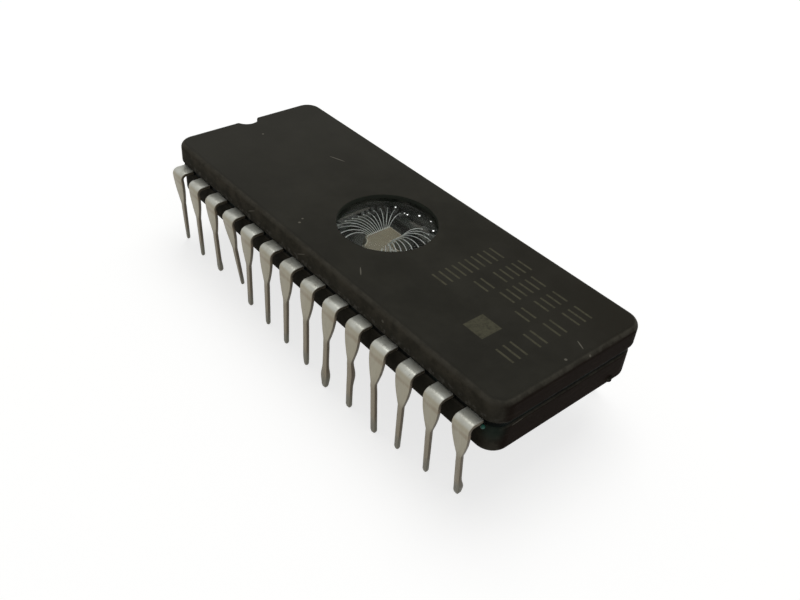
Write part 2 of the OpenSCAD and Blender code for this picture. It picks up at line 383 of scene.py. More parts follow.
# light marks that use has left on the ceramic: specks with their radius, and scratches from end to end
specks = [
    (17.65, -0.48, 8.7, 0.07),
    (18.2, 1.15, 8.55, 0.06),
    (-2.97, -5.2, 8.7, 0.07),
    (-3.25, -4.75, 8.7, 0.05),
    (-15.29, -0.31, 8.7, 0.06),
    (8.1, -6.6, 8.0, 0.08),
]
scratches = [
    ((16.93, 1.4, 8.7), (17.65, 1.11, 8.7)),
    ((-9.4, 2.1, 8.7), (-8.1, 2.6, 8.7)),
    ((3.6, -4.9, 8.7), (4.3, -5.4, 8.7)),
    ((18.18, -5.1, 6.42), (18.18, -4.0, 6.46)),
    ((-7.5, -6.6, 7.7), (-6.6, -6.6, 8.2)),
    ((-1.2, -6.6, 7.6), (-0.3, -6.6, 8.1)),
]
markSet = dict(speckSoftness=0.05, scratchHalfWidth=0.04)


def makeTallyGroup():
    group, start, end = newGroup("tally_print", {"Strokes per mm": 1.9}, ["Mask"])
    soft = tally["softness"]
    parts = splitUp(group, start["Place"])
    counted = maths(group, "MULTIPLY", parts[1], start["Strokes per mm"])
    cell = maths(group, "FLOOR", counted)
    within = awayFrom(group, maths(group, "FRACT", counted), 0.5)
    stroke = remap(group, within, tally["halfStroke"] + soft, tally["halfStroke"] - soft)
    total = None
    for index, row in enumerate(printRows):
        seedPlace = output(group, "ShaderNodeCombineXYZ", {0: cell, 1: float(index)})
        chance = output(group, "ShaderNodeTexWhiteNoise", {"Vector": seedPlace})
        shown = maths(group, "LESS_THAN", chance, tally["shown"])
        offset = awayFrom(group, parts[0], row["middle"])
        tall = remap(group, offset, row["height"] / 2 + soft, row["height"] / 2 - soft)
        after = remap(group, parts[1], row["start"] - soft, row["start"] + soft)
        before = remap(group, parts[1], row["end"] + soft, row["end"] - soft)
        mask = times(group, times(group, shown, tall), times(group, after, before))
        total = mask if total is None else largerOf(group, total, mask)
    acrossX = awayFrom(group, parts[0], printSquare["middleX"])
    acrossY = awayFrom(group, parts[1], printSquare["middleY"])
    outer, soft = printSquare["half"], printSquare["softness"]
    square = remap(group, largerOf(group, acrossX, acrossY), outer + soft, outer - soft)
    group.links.new(largerOf(group, times(group, total, stroke), square), end["Mask"])
    return group


def makeMarkGroup():
    group, start, end = newGroup("specks_and_scratches", {}, ["Mask"])
    total = None
    for x, y, z, radius in specks:
        reach = distanceTo(group, start["Place"], (x, y, z))
        mask = remap(group, reach, radius + markSet["speckSoftness"], radius)
        total = mask if total is None else largerOf(group, total, mask)
    for first, last in scratches:
        mask = streakMask(group, start["Place"], first, last, markSet["scratchHalfWidth"])
        total = largerOf(group, total, mask)
    group.links.new(total, end["Mask"])
    return group


markGroup = makeMarkGroup()


def makeCeramic(name, isLid):
    look = ceramicLook
    material, tree, shader, place = newMaterial(name)
    parts = splitUp(tree, place)
    inputs = {"Place": place, "Grains per mm": look["grainsPerMm"], "Mottle per mm": look["mottlePerMm"]}
    grain = useGroup(tree, grainGroup, inputs)
    edges = useGroup(tree, edgeGroup, {"Place": place, "Breakup": look["edgeBreakup"]})["Mask"]
    dust = useGroup(tree, dustGroup, {"Place": place, "Amount": look["dustiness"]})["Mask"]
    faces = facing(tree)
    colour = mixColour(tree, grain["Mottle"], look["dark"], look["light"])
    colour = mixColour(tree, times(tree, grain["Grain"], look["grainShare"]), colour, look["light"])
    # painted sheen and shade: the end with the notch is painted a little paler, and the far corner of the
    # other end darker
    colour = layOver(tree, look, colour, remap(tree, parts[0], look["paleStart"], lidLow.x), "notchEndSheen")
    alongY = remap(tree, parts[1], look["darkStart"], lidHigh.y)
    far = times(tree, remap(tree, parts[0], 0.0, lidHigh.x), alongY)
    colour = layOver(tree, look, colour, far, "farCorner")
    # painted shade: upright faces are painted darker and browner, but the long ones keep the tone of the top
    colour = mixColour(tree, remap(tree, faces[2], 0.3, 0.9), look["side"], colour)
    long = remap(tree, maths(tree, "ABSOLUTE", faces[1]), 0.4, 0.9)
    longTone = mixColour(tree, grain["Mottle"], look["longSide"], look["light"])
    colour = mixColour(tree, long, colour, longTone)
    # pressing has left streaks along the end faces
    onEnd = remap(tree, maths(tree, "ABSOLUTE", faces[0]), 0.5, 0.9)
    lines = patchy(tree, stretched(tree, place, look["streakStretch"]), look["streakLines"])
    colour = layOver(tree, look, colour, times(tree, onEnd, lines), "streak")
    # fingers have rubbed the long sides, mostly near their top edge
    rubbed = remap(tree, maths(tree, "ABSOLUTE", faces[1]), 0.5, 0.9)
    rubbed = times(tree, rubbed, remap(tree, parts[2], lidLow.z, lidHigh.z, 0.25, 0.8))
    rubbed = times(tree, rubbed, patchy(tree, place, look["rubbedSpots"], 0.35, 1.0))
    colour = layOver(tree, look, colour, rubbed, "handled")
    # painted glints: crumbs of the sealing glass stick to the long sides, near the seam, and are painted pale
    # where they catch the light
    seam = remap(tree, awayFrom(tree, parts[2], lidLow.z + look["crumbRise"]), *look["crumbReach"])
    crumbs = times(tree, seam, patchy(tree, place, look["crumbs"]))
    colour = layOver(tree, look, colour, times(tree, crumbs, long), "fritGlint")
    # painted highlight and wear: the rounded edges are painted paler, partly as real wear and partly as the
    # light they catch
    colour = layOver(tree, look, colour, edges, "wornAndLit")
    colour = layOver(tree, look, colour, dust, "dust")
    marks = useGroup(tree, markGroup, {"Place": place})["Mask"]
    colour = layOver(tree, look, colour, marks, "mark")
    if isLid:
        onTop = maths(tree, "GREATER_THAN", parts[2], lidHigh.z - look["topReach"])
        inputs = {"Place": place, "Strokes per mm": tally["strokesPerMm"]}
        printed = times(tree, useGroup(tree, makeTallyGroup(), inputs)["Mask"], onTop)
        fade = patchy(tree, place, look["fadedPrint"], 0.4, 0.85)
        colour = layOver(tree, look, colour, times(tree, printed, fade), "ink")
        # painted light: the wall of the window hole lies in shade and is painted paler
        flatPlace = output(tree, "ShaderNodeCombineXYZ", {0: parts[0], 1: parts[1]})
        reach = distanceTo(tree, flatPlace, (lensMiddle.x, lensMiddle.y, 0))
        inHole = maths(tree, "LESS_THAN", reach, windowRadius + look["holeMargin"])
        wall = times(tree, inHole, remap(tree, faces[2], 0.4, 0.1))
        colour = layOver(tree, look, colour, wall, "hole")
    else:
        # the cavity and the ledge round it are a paler slate
        inside = maths(tree, "LESS_THAN", squareReach(tree, parts), look["cavityReach"])
        high = maths(tree, "GREATER_THAN", parts[2], baseLow.z + look["cavityRise"])
        colour = layOver(tree, look, colour, times(tree, inside, high), "cavity")
        # painted sheen: a teal sheen is painted down the near corner of the plain end
        away = distanceTo(tree, place, look["sheenMiddle"])
        colour = layOver(tree, look, colour, remap(tree, away, look["sheenRadius"], look["sheenCore"]), "run")
    setInputs(tree, shader, {
        "Base Color": colour,
        "Roughness": mixValue(tree, edges, look["roughness"], look["edgeRoughness"]),
        "Specular IOR Level": look["shine"],
        "Normal": bumpFrom(tree, grain["Height"], look["grainDepth"]),
    })
    return material


# Sealing glass

sealLook = dict(
    dark=srgb(13, 14, 12),
    teal=srgb(20, 38, 34),
    brown=srgb(36, 28, 22),
    inner=srgb(72, 74, 70),
    innerReach=5.2,
    roughness=0.34,
    dullRoughness=0.6,
    shine=0.02,
    waveDepth=0.05,
    tealPatches=(0.7, 3.0, 0.6, 0.45, 0.7),
    brownPatches=(1.3, 4.0, 0.6, 0.58, 0.75),
    dullPatches=(2.5, 3.0, 0.6, 0.4, 0.7),
    shares=dict(teal=0.4, brown=0.6),
)


def makeSealGlass():
    look = sealLook
    material, tree, shader, place = newMaterial("seal_glass")
    colour = layOver(tree, look, look["dark"], patchy(tree, place, look["tealPatches"]), "teal")
    colour = layOver(tree, look, colour, patchy(tree, place, look["brownPatches"]), "brown")
    # round the die the glass is thin, and looks like the slate tone of the cavity
    parts = splitUp(tree, place)
    inner = maths(tree, "LESS_THAN", squareReach(tree, parts), look["innerReach"])
    setInputs(tree, shader, {
        "Base Color": layOver(tree, look, colour, inner, "inner"),
        "Roughness": patchy(tree, place, look["dullPatches"], look["roughness"], look["dullRoughness"]),
        "Specular IOR Level": look["shine"],
        "Normal": bumpFrom(tree, noiseAt(tree, place, 3.5, 3.0, 0.6), look["waveDepth"]),
    })
    return material


# Tinned pins

tinLook = dict(
    tin=srgb(196, 197, 188),
    shade=srgb(180, 180, 169),
    # painted shade of the upright faces
    frontShade=srgb(167, 160, 139),
    # painted shade of the sides that face along X
    side=srgb(84, 74, 60),
    stain=srgb(136, 119, 97),
    slim=srgb(134, 123, 105),
    solder=srgb(116, 115, 104),
    dark=srgb(46, 44, 38),
    finger=srgb(75, 77, 73),
    metallic=0.55,
    smooth=0.36,
    rough=0.54,
    fingerReach=5.4,
    bathLine=6.05,
    bathReach=(0.5, 0.2),
    slimHeights=(5.0, 3.9),
    dippedHeights=(2.4, 1.5),
    # scale and amount of the waves of each edge
    bathWaves=(1.4, 0.4),
    slimWaves=(1.2, 1.0),
    dippedWaves=(1.1, 1.6),
    clouds=(0.9, 4.0, 0.6, 0.35, 0.68),
    rustSpots=(2.1, 5.0, 0.7, 0.6, 0.75),
    darkSpots=(4.5, 3.0, 0.6, 0.68, 0.76),
    drawnStretch=(14.0, 0.9, 0.9),
    drawnDepth=0.008,
    shares=dict(frontShade=0.9, slim=0.75, side=0.85, stain=0.45, solder=0.7, dark=0.6),
)


def makeTin():
    look = tinLook
    material, tree, shader, place = newMaterial("pin_metal")
    parts = splitUp(tree, place)
    faces = facing(tree)
    drawn = noiseAt(tree, stretched(tree, place, look["drawnStretch"]), 1.0, 3.0, 0.6)
    colour = layOver(tree, look, look["tin"], patchy(tree, place, look["clouds"]), "shade")
    # painted shade: the upright faces below the bend are painted beige and darker than the tops, and the slim
    # legs are browner
    upright = remap(tree, faces[2], 0.8, 0.3)
    colour = layOver(tree, look, colour, upright, "frontShade")
    slim = remap(tree, wavy(tree, place, parts[2], *look["slimWaves"]), *look["slimHeights"])
    colour = layOver(tree, look, colour, slim, "slim")
    # painted shade: the sides that face along X are painted dark brown
    side = remap(tree, maths(tree, "ABSOLUTE", faces[0]), 0.55, 0.9)
    colour = layOver(tree, look, colour, side, "side")
    # a line that the plating bath left under the bend
    belowBend = wavy(tree, place, awayFrom(tree, parts[2], look["bathLine"]), *look["bathWaves"])
    colour = layOver(tree, look, colour, remap(tree, belowBend, *look["bathReach"]), "stain")
    colour = layOver(tree, look, colour, patchy(tree, place, look["rustSpots"]), "stain")
    # solder has dulled the tips
    dipped = remap(tree, wavy(tree, place, parts[2], *look["dippedWaves"]), *look["dippedHeights"])
    colour = layOver(tree, look, colour, dipped, "solder")
    colour = layOver(tree, look, colour, patchy(tree, place, look["darkSpots"]), "dark")
    # the fingers inside carry a film of the sealing glass
    inner = maths(tree, "LESS_THAN", maths(tree, "ABSOLUTE", parts[1]), look["fingerReach"])
    colour = layOver(tree, look, colour, inner, "finger")
    setInputs(tree, shader, {
        "Base Color": colour,
        "Metallic": mixValue(tree, inner, look["metallic"], 0.0),
        "Roughness": remap(tree, drawn, 0.3, 0.7, look["smooth"], look["rough"]),
        "Normal": bumpFrom(tree, drawn, look["drawnDepth"]),
    })
    return material


# Window, die and wires

windowLook = dict(
    clear=(0.97, 0.98, 0.97, 1.0),
    veil=srgb(120, 124, 118),
    shadow=(0.78, 0.81, 0.8, 1.0),
    reflection=(0.1, 0.1, 0.1, 1.0),
    ior=1.47,
    dulled=0.9,
    film=0.22,
    filmColour=srgb(150, 148, 138),
    shares=dict(veil=0.12),
    haze=0.07,
    smears=(0.8, 4.0, 0.65, 0.4, 0.75),
    waveDepth=0.02,
    # painted reflections: two pale streaks where the window's edges are reflected
    streaks=[((-1.95, -2.5, 0), (-1.88, 0.3, 0), 0.16), ((1.1, 1.45, 0), (3.0, 1.62, 0), 0.16)],
)


def makeWindowGlass():
    look = windowLook
    material, tree, shader, place = newMaterial("window_glass")
    smear = patchy(tree, place, look["smears"])
    setInputs(tree, shader, {
        "Base Color": layOver(tree, look, look["clear"], smear, "veil"),
        "Roughness": 0.0,
        "Transmission Weight": 1.0,
        "IOR": look["ior"],
        "Specular Tint": look["reflection"],
        "Normal": bumpFrom(tree, noiseAt(tree, place, 0.5, 2.0, 0.5), look["waveDepth"]),
    })
    # a thin film on the glass: a haze, and two pale streaks painted where the window's edges are reflected
    parts = splitUp(tree, place)
    flatPlace = output(tree, "ShaderNodeCombineXYZ", {0: parts[0], 1: parts[1]})
    film = times(tree, smear, look["haze"])
    for first, last, halfWidth in look["streaks"]:
        streak = times(tree, streakMask(tree, flatPlace, first, last, halfWidth), look["film"])
        film = largerOf(tree, film, streak)
    # light reaches the chip straight through the glass
    rays = addNode(tree, "ShaderNodeLightPath").outputs
    lighting = largerOf(tree, rays["Is Shadow Ray"], rays["Is Diffuse Ray"])
    through = output(tree, "ShaderNodeBsdfTransparent", {"Color": look["shadow"]})
    # the ground faces reflect less than polished glass
    inputs = {"Color": look["clear"], "Roughness": 0.0, "IOR": look["ior"]}
    bent = output(tree, "ShaderNodeBsdfRefraction", inputs)
    seen = mixShader(tree, look["dulled"], shader.outputs[0], bent)
    stain = output(tree, "ShaderNodeBsdfDiffuse", {"Color": look["filmColour"]})
    seen = mixShader(tree, film, seen, stain)
    surface = mixShader(tree, lighting, seen, through)
    tree.links.new(surface, tree.nodes["Material Output"].inputs["Surface"])
    return material


dieLook = dict(
    base=srgb(120, 106, 80),
    array=srgb(108, 98, 72),
    lines=srgb(92, 80, 64),
    edge=srgb(176, 168, 148),
    endMargin=0.26,
    sideMargin=0.12,
    spineHalf=0.07,
    rimWidth=0.06,
    brickStretch=(9.0, 3.0, 1.0),
    rowTurns=90.0,
    columnTurns=60.0,
    metallic=0.1,
    smooth=0.35,
    rough=0.5,
    depth=0.004,
    shares=dict(lines=0.5),
)


def makeSilicon():
    look = dieLook
    material, tree, shader, place = newMaterial("silicon")
    parts = splitUp(tree, place)
    halfX = dieHigh.x - dieMiddle.x
    halfY = dieHigh.y - dieMiddle.y
    acrossX = awayFrom(tree, parts[0], dieMiddle.x)
    acrossY = awayFrom(tree, parts[1], dieMiddle.y)
    inX = maths(tree, "LESS_THAN", acrossX, halfX - look["endMargin"])
    inY = maths(tree, "LESS_THAN", acrossY, halfY - look["sideMargin"])
    spine = maths(tree, "GREATER_THAN", acrossY, look["spineHalf"])
    array = times(tree, times(tree, inX, inY), spine)
    rows = maths(tree, "SINE", times(tree, parts[0], look["rowTurns"]))
    columns = maths(tree, "SINE", times(tree, parts[1], look["columnTurns"]))
    weave = remap(tree, times(tree, rows, columns), -0.4, 0.6)
    colour = mixColour(tree, array, look["base"], mixColour(tree, weave, look["array"], look["base"]))
    bricks = noiseAt(tree, stretched(tree, place, look["brickStretch"]), 1.0, 4.0, 0.7)
    colour = layOver(tree, look, colour, remap(tree, bricks, 0.55, 0.7), "lines")
    pastX = maths(tree, "SUBTRACT", acrossX, halfX)
    pastY = maths(tree, "SUBTRACT", acrossY, halfY)
    rim = remap(tree, largerOf(tree, pastX, pastY), -look["rimWidth"], -look["rimWidth"] / 3)
    colour = layOver(tree, look, colour, rim, "edge")
    setInputs(tree, shader, {
        "Base Color": colour,
        "Metallic": look["metallic"],
        "Roughness": remap(tree, weave, 0.0, 1.0, look["smooth"], look["rough"]),
        "Normal": bumpFrom(tree, weave, look["depth"]),
    })
    return material


bondLook = dict(
    dark=srgb(78, 70, 52),
    light=srgb(112, 102, 78),
    scale=8.0,
    detail=4.0,
    breakup=0.7,
    contrast=(0.35, 0.65),
    metallic=0.2,
    smooth=0.55,
    depth=0.02,
)
wireLook = dict(
    dark=srgb(240, 241, 238),
    light=srgb(254, 254, 252),
    scale=5.0,
    detail=2.0,
    breakup=0.5,
    metallic=0.15,
    smooth=0.3,
    rough=0.45,
)

ceramicPrinted = makeCeramic("ceramic_top", True)
ceramicPlain = makeCeramic("ceramic_base", False)
sealGlass = makeSealGlass()
tin = makeTin()
windowGlass = makeWindowGlass()
silicon = makeSilicon()
dieBond = makeTwoTone("die_bond", bondLook)
wire = makeTwoTone("wire", wireLook)
print("materials made")

for name, material in {
    "ceramic_lid": ceramicPrinted,
    "ceramic_base": ceramicPlain,
    "glass_seal": sealGlass,
    "window_lens": windowGlass,
    "die": silicon,
    "die_attach": dieBond,
    "bond_wires_notch_end": wire,
    "bond_wires_plain_end": wire,
}.items():
    coat(cadNodes[name], material)
print("packed nodes coated")


# Helpers for meshes


def settle(name, data):
    piece = newObject(name, data)
    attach(piece, "root")
    return piece


def finishPiece(mesh, name, material):
    # the mesh comes in millimetres
    for face in mesh.faces:
        face.smooth = True
    for vertex in mesh.verts:
        vertex.co *= mm
    bmesh.ops.recalc_face_normals(mesh, faces=mesh.faces)
    data = bpy.data.meshes.new(name)
    mesh.to_mesh(data)
    mesh.free()
    data.materials.append(material)
    return settle(name, data)


def skinRings(mesh, rings):
    made = [[mesh.verts.new(point) for point in ring] for ring in rings]
    for near, far in zip(made, made[1:]):
        for index in range(len(near)):
            after = (index + 1) % len(near)
            mesh.faces.new((near[index], near[after], far[after], far[index]))
    mesh.faces.new(made[0][::-1])
    mesh.faces.new(made[-1])


# Pins

pinShape = dict(
    broadWidth=1.4,
    slimWidth=0.46,
    slimHeight=3.9,
    broadHeight=0.2,
    bendRadius=0.25,
    outerRound=0.07,
    innerRound=0.03,
    roundShare=0.45,
    rootStations=(5.3, 5.7, 6.2, 6.5, 6.8),
    bendSteps=10,
    taperSteps=14,
    slimSteps=24,
    fingerRootWidth=1.1,
    fingerOverlap=0.3,
    ringRadius=2.4,
    ringPower=6,
    fanStep=10,
    fingerHalfAngle=3,
    sway=[-0.5, -0.25, -0.2, -0.15, -0.15, 0, 0.05, 0.25, 0.35, 0.3, 0.6, 0, 0, -0.1],
    tuck=[0.6, 0.4, 0.5, 1, 0.15, 0, -0.1, -0.25, -0.5, -0.3, -0.4, 0, 0.25, 0.7],
    cornerSway=-1.2,
    swayEase=0.6,
    tipRound=0.16,
    tipDepth=0.2,
    tipWidth=0.35,
    tipThickness=0.55,
    narrowing=1.5,
    wander=0.008,
    wanderPerMm=2.3,
)

# how much narrower some slim parts are at the tip
narrowTips = {1: 0.45, 2: 0.35, 4: 0.5, 6: 0.25, 7: 0.2, 12: 0.2, 13: 0.2}

# solder left on the tips: height of its middle, half length, extra width and thickness, shift along X
solderLumps = {
    3: [dict(height=0.4, length=0.5, wide=0.03, thick=0.05, shift=0.0)],
    8: [dict(height=0.1, length=0.3, wide=-0.06, thick=0.0, shift=0.03)],
    9: [dict(height=0.9, length=0.6, wide=0.1, thick=0.12, shift=-0.06)],
    10: [dict(height=2.8, length=0.7, wide=0.04, thick=0.1, shift=0.06)],
    14: [dict(height=0.7, length=0.5, wide=0.02, thick=0.14, shift=0.03)],
}


def pinStations(place, near):
    # the middle line of one pin of the near row: centre, direction along X, direction out, width
    shape = pinShape
    thick = leadThickness
    turnY = leadHigh.y - thick - shape["bendRadius"]
    legTop = leadHigh.z - thick - shape["bendRadius"]
    middle = shape["bendRadius"] + thick / 2
    height = shape["slimHeight"]
    sway = shape["sway"][place - 1] if near else shape["cornerSway"] * (place == pinsPerRow)
    tuck = shape["tuck"][place - 1] if near else 0.0
    lean = math.asin(tuck / legTop)
    xAxis = Vector((1, 0, 0))
    broad, slim = shape["broadWidth"], shape["slimWidth"]
    stations = []
    for y in shape["rootStations"]:
        stations.append((Vector((0, -y, leadHigh.z - thick / 2)), xAxis, Vector((0, 0, 1)), broad))
    pivot = Vector((0, -turnY, legTop))
    for step in range(shape["bendSteps"] + 1):
        angle = (math.pi / 2 + lean) * step / shape["bendSteps"]
        out = Vector((0, -math.sin(angle), math.cos(angle)))
        stations.append((pivot + out * middle, xAxis, out, broad))
    down = Vector((0, math.sin(lean), -math.cos(lean)))
    legStart = pivot + out * middle
    kneeDrop = legTop - height
    for step in range(shape["taperSteps"] + 1):
        share = step / shape["taperSteps"]
        drop = shape["broadHeight"] + (kneeDrop - shape["broadHeight"]) * share
        width = slim + (broad - slim) * math.cos(math.pi / 2 * share)
        stations.append((legStart + down * drop, xAxis, out, width))
    # a leg that leans inwards is cut shorter, so that its tip stays level with the others
    cut = max(0.0, (middle + thick / 2) * math.sin(lean) - legTop * (1 - math.cos(lean)))
    slant = math.asin(sway / height)
    along = xAxis * math.sin(slant) + down * math.cos(slant)
    across = xAxis * math.cos(slant) - down * math.sin(slant)
    knee = legStart + down * kneeDrop
    for step in range(1, shape["slimSteps"] + 1):
        run = (height - cut) * step / shape["slimSteps"]
        eased = min(1.0, run / shape["swayEase"])
        eased = eased * eased * (3 - 2 * eased)
        centre = knee + (down * (1 - eased) + along * eased) * run
        stations.append((centre, xAxis.lerp(across, eased).normalized(), out, slim))
    return stations


def pinRing(centre, wide, out, width, thick):
    # section of a pin: a flat bar with rounded corners, more so on its outer face
    ring = []
    for signWide, signOut in ((1, 1), (-1, 1), (-1, -1), (1, -1)):
        wanted = pinShape["outerRound"] if signOut > 0 else pinShape["innerRound"]
        corner = min(wanted, width * pinShape["roundShare"], thick * pinShape["roundShare"])
        for step in range(3):
            angle = math.radians(45 * step)
            if signWide * signOut < 0:
                angle = math.radians(90) - angle
            u = signWide * (width / 2 - corner + corner * math.cos(angle))
            v = signOut * (thick / 2 - corner + corner * math.sin(angle))
            ring.append(centre + wide * u + out * v)
    return ring


def ringPoint(degrees, radius):
    c = math.cos(math.radians(degrees))
    s = math.sin(math.radians(degrees))
    power = pinShape["ringPower"]
    square = (abs(c) ** power + abs(s) ** power) ** (-1 / power)
    return Vector((radius * square * c, radius * square * s))


def addFinger(mesh, place, x):
    shape = pinShape
    if place <= pinsPerRow / 2:
        angle = 180 + (place - 0.5) * shape["fanStep"]
    else:
        angle = 360 - (pinsPerRow + 0.5 - place) * shape["fanStep"]
    half = shape["fingerRootWidth"] / 2
    rootEnd = -shape["rootStations"][0] - shape["fingerOverlap"]
    rootY = rootEnd + shape["fingerOverlap"] / 2
    first = ringPoint(angle + shape["fingerHalfAngle"], shape["ringRadius"])
    last = ringPoint(angle - shape["fingerHalfAngle"], shape["ringRadius"])
    outline = [
        (x - half, rootEnd),
        (x + half, rootEnd),
        (x + half, rootY),
        (first.x, first.y),
        (last.x, last.y),
        (x - half, rootY),
    ]
    low = [mesh.verts.new((px, py, leadHigh.z - leadThickness)) for px, py in outline]
    high = [mesh.verts.new((px, py, leadHigh.z)) for px, py in outline]
    mesh.faces.new(low[::-1])
    mesh.faces.new(high)
    for index in range(len(low)):
        after = (index + 1) % len(low)
        mesh.faces.new((low[index], low[after], high[after], high[index]))


def buildPin(pin):
    near = pin <= pinsPerRow
    place = pin if near else 2 * pinsPerRow + 1 - pin
    shape = pinShape
    x = pinX(place)
    mesh = bmesh.new()
    stations = pinStations(place, near)
    lumps = solderLumps.get(place, []) if near else []
    rings = []
    for centre, wide, out, width in stations:
        thick = leadThickness
        shift = 0.0
        above = centre.z - stations[-1][0].z
        if near and above < shape["slimHeight"]:
            share = (1 - above / shape["slimHeight"]) ** shape["narrowing"]
            width *= 1 - narrowTips.get(place, 0.0) * share
        for lump in lumps:
            share = math.exp(-(((above - lump["height"]) / lump["length"]) ** 2))
            width += 2 * lump["wide"] * share
            thick += lump["thick"] * share
            shift += lump["shift"] * share
        if above < shape["tipRound"]:
            # the tin rounds off the tip
            closeness = math.sqrt(max(0.0, 1 - ((shape["tipRound"] - above) / shape["tipDepth"]) ** 2))
            width *= shape["tipWidth"] + (1 - shape["tipWidth"]) * closeness
            thick *= shape["tipThickness"] + (1 - shape["tipThickness"]) * closeness
        stray = shape["wander"] * noise.noise(Vector((x, centre.y, centre.z)) * shape["wanderPerMm"])
        # solder lies on the inner face, so the outer one keeps its place
        inwards = out * (leadThickness - max(thick, leadThickness)) / 2
        middle = centre + Vector((x, 0, 0)) + wide * (shift + stray) + inwards
        rings.append(pinRing(middle, wide, out, width, thick))
    skinRings(mesh, rings)
    addFinger(mesh, place, x)
    if not near:
        for vertex in mesh.verts:
            vertex.co.y = -vertex.co.y
    piece = finishPiece(mesh, "tinned_pin_%02d" % pin, tin)
    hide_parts("lead_%02d" % pin)
    return piece


pins = [buildPin(pin) for pin in range(1, 2 * pinsPerRow + 1)]
print("pins made:", len(pins))


# Helpers for geometry nodes


def newGeometryTree(name, values):
    # one named input for each value: whole numbers are seeds and counts, the others are sizes in metres
    tree = bpy.data.node_groups.new(name, "GeometryNodeTree")
    tree.interface.new_socket("Geometry", in_out="INPUT", socket_type="NodeSocketGeometry")
    for label, value in values.items():
        kind = "NodeSocketInt" if isinstance(value, int) else "NodeSocketFloat"
        tree.interface.new_socket(label, in_out="INPUT", socket_type=kind)
    tree.interface.new_socket("Geometry", in_out="OUTPUT", socket_type="NodeSocketGeometry")
    return tree, tree.nodes.new("NodeGroupInput").outputs, tree.nodes.new("NodeGroupOutput").inputs


def endTree(tree, geometry, material, end):
    realized = output(tree, "GeometryNodeRealizeInstances", {0: geometry})
    smooth = output(tree, "GeometryNodeSetShadeSmooth", {"Geometry": realized})
    coated = output(tree, "GeometryNodeSetMaterial", {"Geometry": smooth, "Material": material})
    tree.links.new(coated, end["Geometry"])


def growPiece(name, source, tree, values):
    # runs the tree on the source once and keeps the result as a plain mesh
    starter = newObject(name + "_source", source)
    modifier = starter.modifiers.new("shape", "NODES")
    modifier.node_group = tree
    for item in tree.interface.items_tree:
        if item.in_out == "INPUT" and item.name in values:
            modifier[item.identifier] = values[item.name]
    depsgraph = bpy.context.evaluated_depsgraph_get()
    data = bpy.data.meshes.new_from_object(starter.evaluated_get(depsgraph))
    starter.modifiers.remove(modifier)
    bpy.data.objects.remove(starter)
    return settle(name, data)


def pointMesh(name, points, **values):
    # loose points in millimetres, with any sizes as point attributes
    data = bpy.data.meshes.new(name)
    data.from_pydata([Vector(point) * mm for point in points], [], [])
    for label, numbers in values.items():
        attribute = data.attributes.new(label, "FLOAT", "POINT")
        attribute.data.foreach_set("value", numbers)
    return data


# Sealing glass that swells out between base and lid, along the outline of the seal

beadShape = dict(
    cornerRadius=1.06,
    notchRadius=1.0,
    step=0.16,
    halfWidth=0.2,
    halfHeight=0.26,
    inset=0.2,
    ripple=0.05,
    ripplesPerMm=0.8,
    swellAtPin=0.14,
    pinDepth=0.6,
    roundFaces=12,
)


def beadPath():
    shape = beadShape
    halfX = sealHigh.x - shape["inset"]
    halfY = sealHigh.y - shape["inset"]
    radius = shape["cornerRadius"] - shape["inset"]
    notch = shape["notchRadius"] + shape["inset"]
    points = []

    def line(first, last):
        count = max(2, int(math.dist(first, last) / shape["step"]))
        for step in range(count):
            share = step / count
            points.append([a + (b - a) * share for a, b in zip(first, last)])

    def arc(centreX, centreY, size, fromAngle, toAngle):
        count = max(3, int(abs(math.radians(toAngle - fromAngle)) * size / shape["step"]))
        for step in range(count):
            angle = math.radians(fromAngle + (toAngle - fromAngle) * step / count)
            points.append((centreX + size * math.cos(angle), centreY + size * math.sin(angle)))

    mouth = math.degrees(math.acos((-halfX - lidLow.x) / notch))
    mouthY = notch * math.sin(math.radians(mouth))
    arc(lidLow.x, 0, notch, mouth, -mouth)
    line((-halfX, -mouthY), (-halfX, -halfY + radius))
    arc(-halfX + radius, -halfY + radius, radius, 180, 270)
    line((-halfX + radius, -halfY), (halfX - radius, -halfY))
    arc(halfX - radius, -halfY + radius, radius, 270, 360)
    line((halfX, -halfY + radius), (halfX, halfY - radius))
    arc(halfX - radius, halfY - radius, radius, 0, 90)
    line((halfX - radius, halfY), (-halfX + radius, halfY))
    arc(-halfX + radius, halfY - radius, radius, 90, 180)
    line((-halfX, halfY - radius), (-halfX, mouthY))
    return points


